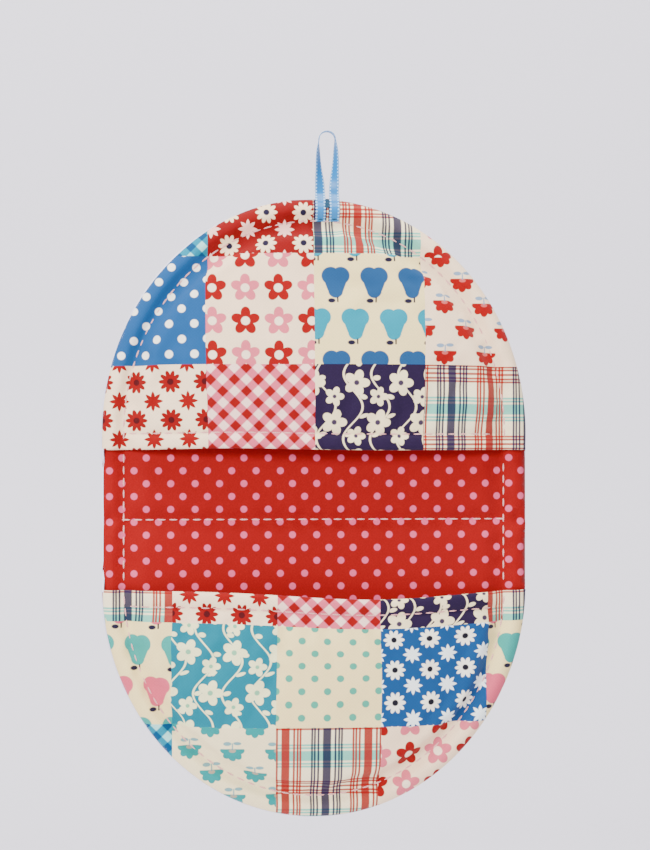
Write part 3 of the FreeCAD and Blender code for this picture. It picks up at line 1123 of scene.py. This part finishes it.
# %% Wadding and liner finishes
def wadding_material():
    """Matted white fibre."""
    bench = Bench("polyester wadding", roughness=0.95, sheen=0.4)
    _, _, place = bench.flat_place()
    fibre = bench.noise(place, 1.2, 6.0)
    bench.use("Base Color", bench.mix(paint("E4E0D6"), paint("F6F4EE"), fibre))
    bench.use("Roughness", 0.85 + fibre * 0.15)
    bench.bump(0.8, 0.3, fibre)
    return bench.material


def liner_material():
    """A silvery cloth that turns heat back."""
    bench = Bench("silvery heat liner", roughness=0.45, sheen=0.0, specular=0.5)
    u, v, place = bench.flat_place()
    grid = bench.maths("SINE", u * (math.pi / 0.9)) * bench.maths("SINE", v * (math.pi / 0.9))
    scuff = bench.noise(place, 0.4, 3.0)
    bench.shader.inputs["Metallic"].default_value = 0.7
    bench.use("Base Color", bench.mix(paint("A9ABAE"), paint("C9CBCE"), scuff))
    bench.use("Roughness", 0.35 + scuff * 0.25)
    bench.bump(0.4, 0.1, grid)
    return bench.material


WADDING = wadding_material()
print("wadding and liner are ready")

# %% [markdown]
# ## Linings and waddings of the pockets
#
# The lining is sewn like the outer cloths, but it lies flat enough to need no simulation. The wadding
# fills what is left between the lining and the print.


# %% Line and fill the pockets
def lining_sink(half):
    """The lining lies just over the turned-in edge of the print."""
    return lambda u, v: 2 * lip_radius(u, v, half) - LIP_CLEAR


def make_lining(half):
    name = f"{half_name[half]}_pocket_inside"
    bottom, top = sorted((MOUTH[half] + half * 4.5, half * HALF_HEIGHT))
    cut = cut_cloth(bottom, top, evenly(2.6), (4.4, STITCH_IN))
    piece = sew(name, cut, layer_shape(half, lining_sink(half)), 1, thick=0.25)
    finish_layer(piece, RED_DOTS, "dotted_cotton", f"{half_name[half]}_pocket_lining")
    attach(piece, body_of_half[half])
    (top - bottom) * MM


def make_pocket_fill(half):
    name = f"{half_name[half]}_pocket_fill"
    bottom, top = sorted((MOUTH[half] + half * 3.2, half * HALF_HEIGHT))
    hem_rows = [MOUTH[half] + half * row for row in HEM_ROWS]
    cut = cut_cloth(bottom, top, evenly(3.0), (RIM, STITCH_IN), hem_rows)
    inner = lining_sink(half)
    back = layer_shape(half, lambda u, v: np.maximum(inner(u, v) - 0.35, CLEAR + 0.05))
    piece = fill_between(name, cut, layer_shape(half, evenly(CLEAR)), back)
    finish_layer(piece, WADDING, "wadding", f"{half_name[half]}_pocket_wadding")
    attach(piece, body_of_half[half])


for half in (UPPER, LOWER):
    make_lining(half)
    make_pocket_fill(half)

# %% [markdown]
# ## The pad
#
# The pad's wadding and heat liner cross the fold. Each is one piece that rides on neither half of the mitt.

# %% Fill the pad
BEND = 0.010  # a distance to both sides of the fold, in metres


def fold_with_pad(piece):
    """Bake a layer's transform into its mesh."""
    fold_z = joint_at["fold"][2]
    fold_z + BEND
    fold_z - BEND
    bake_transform(piece)


whole = (-2 * HALF_HEIGHT, 2 * HALF_HEIGHT)
fold_rows = [FOLD + k for k in (-6, -3.5, -1.7, 0, 1.7, 3.5, 6)]
pad_cut = cut_cloth(*whole, evenly(2.4), (RIM, STITCH_IN), fold_rows)
pad_fill = fill_between("pad_fill", pad_cut,
                        lambda u, v: in_frame(u, v, face_height(u, v) - CLEAR),
                        lambda u, v: in_frame(u, v, back_height(u, v) + CLEAR + LINER))
finish_layer(pad_fill, WADDING, "wadding", "base_wadding_upper", "base_wadding_lower")
fold_with_pad(pad_fill)

heat_sheet = sew("heat_sheet", pad_cut, lambda u, v: in_frame(u, v, back_height(u, v) + CLEAR), 1, thick=0.25)
finish_layer(heat_sheet, liner_material(), "heat_liner", "heat_liner_upper", "heat_liner_lower")
fold_with_pad(heat_sheet)

# %% [markdown]
# ## The face and the back
#
# Both are whole ovals and both are pulled in at the centre stitches. The face is held by the edge stitches,
# by the centre stitches and under the pockets. The back is cut larger than the mitt all round, because its
# edge rolls over the rim.

# %% Sew the face and the back
def pad_held(u, v):
    """The pad's cloths are held at the edge stitches and at the centre stitches."""
    d, _, _ = edge_facts(u, v)
    return np.maximum(1 - ease((d - STITCH_IN) / 5), 1 - ease((np.abs(v - FOLD) - 1.5) / 6))


def face_held(u, v):
    """Under a pocket the face lies flat, so it is held there as well."""
    return np.maximum(pad_held(u, v), ease((np.abs(v - FOLD) - 20) / 6))


def face_edge(u, v):
    """Under a pocket the face cloth stops a little short of the rim."""
    return seam_inset(u, v) + 1.6 * ease((np.abs(v - FOLD) - 27) / 6)


def back_edge(u, v):
    """The back cloth reaches past the rim by what it takes to turn to the seam."""
    return -seam_turn(u, v) * roll(v)


mouth_rows = [MOUTH[half] for half in (UPPER, LOWER)]
red_face = sew("red_face", cut_cloth(*whole, face_edge, (3.4, RIM, STITCH_IN), fold_rows + mouth_rows),
               face_shape, -1, face_held)
finish_layer(red_face, RED_DOTS, "dotted_cotton", "face_cloth_upper", "face_cloth_lower")
fold_with_pad(red_face)

plain_back = sew("plain_back", cut_cloth(*whole, back_edge, (0.01, 0.5, 1.4, 2.8, RIM, STITCH_IN), fold_rows),
                 back_shape, 1, pad_held)
finish_layer(plain_back, PLAIN_BACK, "back_cotton", "back_cloth_upper", "back_cloth_lower")
fold_with_pad(plain_back)
spare = seam_turn(-HALF_WIDTH, 0.0) * roll(60.0)
2 * (HALF_WIDTH + spare) * MM
2 * (HALF_HEIGHT + spare) * MM

# %% [markdown]
# ## Stitches
#
# A row of stitches is many short lengths of thread. Each one rises out of the cloth, lies on it and
# goes back in, so it is a small tube that is thinner and lower at both ends.

# %% One stitch
STITCH = 3.8  # length of one stitch
PITCH = 4.4  # from one stitch to the next
THREAD = 0.3  # half the width of the thread
STATIONS = np.linspace(0, 1, 7)
ROUND = np.linspace(0, 2 * math.pi, 6, endpoint=False)


def thread_tubes(name, centres, across, up):
    """One mesh of many tubes. Each argument holds a vector for every stitch and station, in metres."""
    stitches, stations, sides = len(centres), len(STATIONS), len(ROUND)
    swell = (0.45 + 0.55 * np.sin(math.pi * STATIONS))[None, :, None, None] * THREAD * MM
    ring = (across[:, :, None, :] * np.cos(ROUND)[None, None, :, None]
            + up[:, :, None, :] * np.sin(ROUND)[None, None, :, None] * 0.75)
    points = (centres[:, :, None, :] + ring * swell).reshape(-1, 3)
    faces = []
    for k in range(stitches):
        base = k * stations * sides
        for i in range(stations - 1):
            for j in range(sides):
                a, b = base + i * sides + j, base + i * sides + (j + 1) % sides
                faces.append((a, b, b + sides, a + sides))
        faces.append(tuple(base + j for j in reversed(range(sides))))
        faces.append(tuple(base + (stations - 1) * sides + j for j in range(sides)))
    piece = mesh_object(name, points, faces)
    along = np.repeat(np.tile(STATIONS * STITCH, stitches), sides)
    store_flat(piece.data, along, np.tile(ROUND * THREAD, stitches * stations))
    return piece


print(f"stitches of {STITCH} mm every {PITCH} mm")

# %% [markdown]
# ## Rows of stitches
#
# A row is laid along a path at even steps and takes its height from the cloth under it. It is worked out
# for a whole row at once, because there are hundreds of stitches.


# %% Lay stitches along a path
def row_of_stitches(u, v, height, side, start=0.0, length=STITCH):
    """Centres, sideways and upward vectors of the stitches along a path. side is 1 in front, -1 behind."""
    run = np.concatenate([[0], np.cumsum(np.hypot(np.diff(u), np.diff(v)))])
    count = int((run[-1] - start - length) / PITCH) + 1
    mark = start + np.arange(count)[:, None] * PITCH + STATIONS[None, :] * length
    at_u, at_v = np.interp(mark, run, u), np.interp(mark, run, v)
    lift = side * (0.34 * np.sin(math.pi * STATIONS) - 0.22)[None, :]
    w = height(at_u.ravel(), at_v.ravel()).reshape(at_u.shape) + lift
    centres = in_frame(at_u.ravel(), at_v.ravel(), w.ravel()).reshape(count, -1, 3)
    line = np.gradient(centres, axis=1)
    line /= np.linalg.norm(line, axis=2, keepdims=True)
    up = np.zeros_like(line)
    up[..., 1] = -side
    across = np.cross(line, up)
    return centres, across / np.linalg.norm(across, axis=2, keepdims=True), up


def joined(rows):
    return [np.concatenate(part) for part in zip(*rows)]


def without(row, crossing):
    """Leave out the stitches whose middle lies where crossing says so."""
    middle = row[0][:, len(STATIONS) // 2]
    keep = ~crossing((middle[:, 0] - MIDDLE_X) / MM, (middle[:, 2] - MIDDLE_Z) / MM)
    return [part[keep] for part in row]


def front_height(u, v):
    """The outermost cloth in front, whichever it is."""
    upper, lower = v > MOUTH[UPPER], v < MOUTH[LOWER]
    below = np.where(lower, pocket_height(u, v, LOWER), face_height(u, v))
    return np.where(upper, pocket_height(u, v, UPPER), below)


def at_a_mouth(u, v):
    """Close to where the front cloth steps up to a pocket."""
    return (np.abs(v - MOUTH[UPPER]) < 3) | (np.abs(v - MOUTH[LOWER]) < 3)


print(f"the edge takes about {rim_length / PITCH:.0f} stitches")

# %% [markdown]
# ## The three kinds of row
#
# One row runs round the edge, one across the fold and one along each hem. The edge and the fold are sewn
# through the whole pad, so they show on the back as well.


# %% Sew the rows
def thread_material(name, code):
    """Twisted cotton thread, with painted shading in the grooves of its twist."""
    bench = Bench(name, roughness=0.6, sheen=0.3)
    along, around, place = bench.flat_place()
    ply_relief_and_shade = bench.maths("SINE", (along + around) * (2 * math.pi / 0.8))
    # Darker bands along the twist are painted shading in the grooves between the plies.
    bench.use("Base Color", bench.mix(paint(code), paint(code, 0.72), 0.5 + ply_relief_and_shade * 0.5))
    bench.use("Roughness", 0.55 + bench.noise(place, 2.0) * 0.2)
    bench.bump(0.6, 0.1, ply_relief_and_shade)
    return bench.material


THREAD_CLOTH = thread_material("pale cotton thread", "F9C0BC")
HALF_PITCH = PITCH / 2  # the back's stitches lie between those in front
ring_u, ring_v = rim_path(0.5, evenly(STITCH_IN))
edge_rows = [without(row_of_stitches(ring_u, ring_v, front_height, 1), at_a_mouth),
             row_of_stitches(ring_u, ring_v, back_height, -1, HALF_PITCH)]
edge_thread = thread_tubes("edge_thread", *joined(edge_rows))
finish_layer(edge_thread, THREAD_CLOTH, "thread", "edge_stitches_upper", "edge_stitches_lower")
fold_with_pad(edge_thread)

reach = HALF_WIDTH - STITCH_IN + 1
row_u = np.linspace(-reach, reach, 400)
row_v = np.full_like(row_u, FOLD)
centre_rows = [row_of_stitches(row_u, row_v, face_height, 1),
               row_of_stitches(row_u, row_v, back_height, -1, HALF_PITCH)]
centre_thread = thread_tubes("centre_thread", *joined(centre_rows))
finish_layer(centre_thread, THREAD_CLOTH, "thread", "centre_stitches")
fold_with_pad(centre_thread)


def make_hem_thread(half):
    v = MOUTH[half] + half * HEM
    reach = rim_reach(v, 1, evenly(STITCH_IN)) - 1.5
    u = np.linspace(-reach, reach, 400)
    sag = mouth_sag(u, np.full_like(u, HEM), half)

    def height(at_u, at_v):
        return pocket_height(at_u, np.full_like(at_u, v), half)
    piece = thread_tubes(f"{half_name[half]}_hem_thread", *row_of_stitches(u, v + sag, height, 1))
    finish_layer(piece, THREAD_CLOTH, "thread", f"{half_name[half]}_hem_stitches")
    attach(piece, body_of_half[half])


for half in (UPPER, LOWER):
    make_hem_thread(half)

# %% [markdown]
# ## The ribbon
#
# One satin ribbon goes over the hook and down, and its two ends are sewn side by side to the front of
# the mitt. Over the hook it stands on edge. Each leg then turns flat by a quarter turn on its way down,
# so it looks narrow at the top and wide at the rim. Its woven edge has small loops.

# %% Twist the ribbon
PIVOT_Z = joint_at["loop_swing"][2] / MM
RIBBON_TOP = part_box("ribbon_loop")[1].z / MM
RIBBON_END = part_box("ribbon_ends")[0].z / MM
RIBBON = 3.7  # width
LEG_AT = 2.62  # from the ribbon's middle line to each sewn leg
ARCH = 3.05  # radius of the arch over the hook
RIBBON_U = -MIDDLE_X / MM  # where the ribbon hangs, as the tailor measures
SEWN_TO = HALF_HEIGHT + MIDDLE_Z / MM - 2.0  # up to here a leg lies on the pocket
ARCH_Z = RIBBON_TOP - 0.3 - ARCH  # height of the arch's middle


def on_front(z):
    """How far in front of the frame's middle plane a sewn leg lies at a height, in millimetres."""
    v = z - MIDDLE_Z / MM
    return pocket_height(np.full_like(v, RIBBON_U), v, UPPER) + 0.32


def leg_places(side):
    """Middle line and twist of a leg, from its sewn end to the arch."""
    z = np.linspace(RIBBON_END + 0.3, ARCH_Z, 46)
    up = np.clip((z - PIVOT_Z) / (z[-1] - PIVOT_Z), 0, 1)
    x = side * (LEG_AT + (ARCH - LEG_AT) * ease(up * 1.15) + 0.5 * np.sin(math.pi * up) * up)
    y = -on_front(np.minimum(z, SEWN_TO)) * (1 - ease((z - SEWN_TO) / (PIVOT_Z + 1.0 - SEWN_TO)))
    twist = side * math.pi / 2 * np.interp(up, [0, 0.1, 0.45, 0.8, 1], [0, 0.1, 0.56, 0.77, 1])
    return np.column_stack([x, y, z]), twist


print(f"a leg is {ARCH_Z - RIBBON_END:.0f} mm tall")

# %% [markdown]
# ## The ribbon's surface
#
# The middle line and the direction of the width are two rows of vectors, one for each leg and one for
# the arch between them. Strips laid across the line at even steps then make the ribbon. A curve with a
# bevel would be shorter to write, but its twist is harder to hold at the sewn ends.

# %% Weave the ribbon
right, right_twist = leg_places(1)
left, left_twist = leg_places(-1)
bow = np.linspace(0, math.pi, 22)[1:-1]
arch = np.column_stack([ARCH * np.cos(bow), 0 * bow, ARCH_Z + ARCH * np.sin(bow)])
line = np.concatenate([right, arch, left[::-1]])
# The width turns with the twist on the legs and lies along Y over the hook.
wide = np.concatenate([
    np.column_stack([np.cos(right_twist), -np.sin(right_twist), 0 * right_twist]),
    np.tile([0.0, -1.0, 0.0], (len(arch), 1)),
    np.column_stack([-np.cos(left_twist), np.sin(left_twist), 0 * left_twist])[::-1],
])
run = np.concatenate([[0], np.cumsum(np.linalg.norm(np.diff(line, axis=0), axis=1))])
fine = np.linspace(0, run[-1], int(run[-1] / 0.3))
line = np.column_stack([np.interp(fine, run, line[:, k]) for k in range(3)])
wide = np.column_stack([np.interp(fine, run, wide[:, k]) for k in range(3)])
wide /= np.linalg.norm(wide, axis=1, keepdims=True)
LOOPS = 1.25  # from one edge loop to the next
ACROSS = np.array([-1.0, -0.9, -0.6, -0.2, 0.2, 0.6, 0.9, 1.0])
picot = 1 + 0.07 * np.cos(2 * math.pi * fine / LOOPS)[:, None] * (np.abs(ACROSS) > 0.95)[None, :]
reach = (ACROSS[None, :] * picot * RIBBON / 2)
points = (line[:, None, :] + wide[:, None, :] * reach[..., None]).reshape(-1, 3) * MM
k = len(ACROSS)
faces = [(i * k + j, i * k + j + 1, (i + 1) * k + j + 1, (i + 1) * k + j)
         for i in range(len(fine) - 1) for j in range(k - 1)]
hanging_ribbon = mesh_object("hanging_ribbon", points, faces)
store_flat(hanging_ribbon.data, reach.ravel(), np.repeat(fine, k))
thickened(hanging_ribbon, 0.28, 0)
print(f"ribbon cut {run[-1]:.0f} mm long and {RIBBON} mm wide")

# %% [markdown]
# ## Satin
#
# Satin's long threads run along the ribbon and give it a soft gloss, so the noise is stretched that way
# and the roughness is low. The same noise puts lighter streaks into the colour, which are painted sheen. The
# edge loops are pale dots on a line.


# %% Finish the ribbon
def ribbon_material():
    """Blue satin with painted sheen streaks and pale loops along both edges."""
    bench = Bench("pale blue satin ribbon", roughness=0.35, sheen=0.0, specular=0.4)
    across, along, place = bench.flat_place()
    away = bench.maths("ABSOLUTE", across)
    fibres_and_painted_sheen = bench.noise(bench.node("ShaderNodeVectorMath", {"operation": "MULTIPLY"},
                                    {0: place, 1: (9.0, 0.4, 1.0)}), 1.0, 3.0)
    # Lighter streaks along the threads are painted sheen of the satin.
    colour = bench.mix(paint("1E78C4"), paint("5CAAE4"), fibres_and_painted_sheen)
    beads = bench.step(0.36 - bench.size((away - (RIBBON / 2 - 0.32)) * 0.9,
                                         bench.maths("PINGPONG", along, LOOPS / 2)), 0.15)
    bench.use("Base Color", bench.mix(colour, paint("C4E0F4"), beads * 0.7))
    bench.use("Roughness", 0.26 + fibres_and_painted_sheen * 0.18 + beads * 0.25)
    ribs = bench.maths("SINE", along * (2 * math.pi / 0.3))
    bench.bump(0.25, 0.06, ribs * 0.5 + beads * 2.0 + fibres_and_painted_sheen)
    return bench.material


finish_layer(hanging_ribbon, ribbon_material(), "ribbon_satin", "ribbon_loop", "ribbon_ends")
(PIVOT_Z + 2) * MM
(PIVOT_Z - 2) * MM
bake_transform(hanging_ribbon)

# %% [markdown]
# ## Tack stitches
#
# Each sewn end has one tack across it, and seven more close the gap between the legs at the rim. They
# are made as the other stitches are, but they lie on the ribbon and not on the cloth.

# %% Tack the ribbon down
TACK = 2.6  # length of one tack stitch


def tack_height(u, v):
    return pocket_height(u, v, UPPER) + 0.5


tacks = []
bridge = [(0, 0.4 + 0.5 * k) for k in range(7)]
for across, below_rim in [(-LEG_AT, 7.9), (LEG_AT, 7.9)] + bridge:
    u = np.linspace(-TACK / 2, TACK / 2, 20) + RIBBON_U + across
    tacks.append(row_of_stitches(u, np.full_like(u, HALF_HEIGHT - below_rim), tack_height, 1, length=TACK))
ribbon_tacks = thread_tubes("ribbon_tacks", *joined(tacks))
finish_layer(ribbon_tacks, thread_material("dark teal thread", "1F5F80"), "ribbon_thread", "ribbon_tack")
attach(ribbon_tacks, "upper_half")
print(len(tacks), "tacks")

# %% [markdown]
# ## Studio floor
#
# A plain pale sheet that curves up behind the mitt has no corner to catch the eye. It is far behind, so
# that no shadow of the mitt falls on it.


# %% Floor
def studio_floor():
    """A floor that curves up into a backdrop behind the mitt."""
    floor, wall, corner = -0.42, 1.3, 0.4
    turn = np.linspace(0, math.pi / 2, 24)
    y = np.concatenate([[-3.0, wall - corner], wall - corner + corner * np.sin(turn), [wall]])
    z = np.concatenate([[floor, floor], floor + corner - corner * np.cos(turn), [3.0]])
    points = [(x, a, b) for a, b in zip(y, z) for x in (-4.0, 4.0)]
    faces = [(2 * i, 2 * i + 1, 2 * i + 3, 2 * i + 2) for i in range(len(y) - 1)]
    return mesh_object("studio_floor", points, faces)


floor = studio_floor()
smooth(floor)
paper = Bench("backdrop paper", roughness=0.9, sheen=0.0, specular=0.2)
spread = paper.noise(paper.node("ShaderNodeTexCoord", {}, {}, 3), 3.0)
paper.use("Base Color", paper.mix(paint("DCD9DF"), paint("E2DFE4"), spread))
floor.data.materials.append(paper.material)
print("floor and backdrop are one sheet")

# %% [markdown]
# ## Lights
#
# A soft light from the upper left shapes the puckers, a second one washes the backdrop, and pale light
# all round keeps the shadows open.


# %% Lights
def soft_light(name, place, aim, size, watts, tint):
    lamp = bpy.data.lights.new(name, "AREA")
    lamp.shape = "DISK"
    lamp.size = size
    lamp.energy = watts
    lamp.color = tint
    light = bpy.data.objects.new(name, lamp)
    light.location = place
    light.rotation_mode = "QUATERNION"
    light.rotation_quaternion = (Vector(aim) - Vector(place)).to_track_quat("-Z", "Y")
    scene.collection.objects.link(light)


MIDDLE = (MIDDLE_X, 0, MIDDLE_Z)
soft_light("key", (-0.75, -1.2, 0.3), MIDDLE, 0.45, 31, (1.0, 0.985, 0.97))
soft_light("backdrop wash", (0.0, -0.2, 1.6), (0, 1.3, -0.1), 1.4, 84, (0.98, 0.98, 1.0))

world = bpy.data.worlds.new("pale room")
world.use_nodes = True
world.node_tree.nodes["Background"].inputs["Color"].default_value = (0.93, 0.94, 1.0, 1.0)
world.node_tree.nodes["Background"].inputs["Strength"].default_value = 0.88
scene.world = world

# %% [markdown]
# ## Camera
#
# The lens is long, so the mitt looks flat and undistorted. It stands a few degrees to the left.

# %% Camera
DISTANCE = 0.9
SEEN_HEIGHT = 0.31875  # what the frame shows at the mitt's distance, from top to bottom
AZIMUTH = math.radians(-4.5)
aim = Vector((-0.00075, 0, -0.1099))
lens = bpy.data.cameras.new("camera")
lens.lens = lens.sensor_width * DISTANCE / SEEN_HEIGHT
camera = bpy.data.objects.new("camera", lens)
camera.location = aim + DISTANCE * Vector((math.sin(AZIMUTH), -math.cos(AZIMUTH), 0))
camera.rotation_mode = "QUATERNION"
camera.rotation_quaternion = (aim - camera.location).to_track_quat("-Z", "Y")
scene.collection.objects.link(camera)
scene.camera = camera
print(f"lens {lens.lens:.0f} mm from {DISTANCE} m")

# %% [markdown]
# ## Size
#
# Cloth may stand a little proud of the CAD model, but not much.

# %% Size
print("the mitt is dressed")
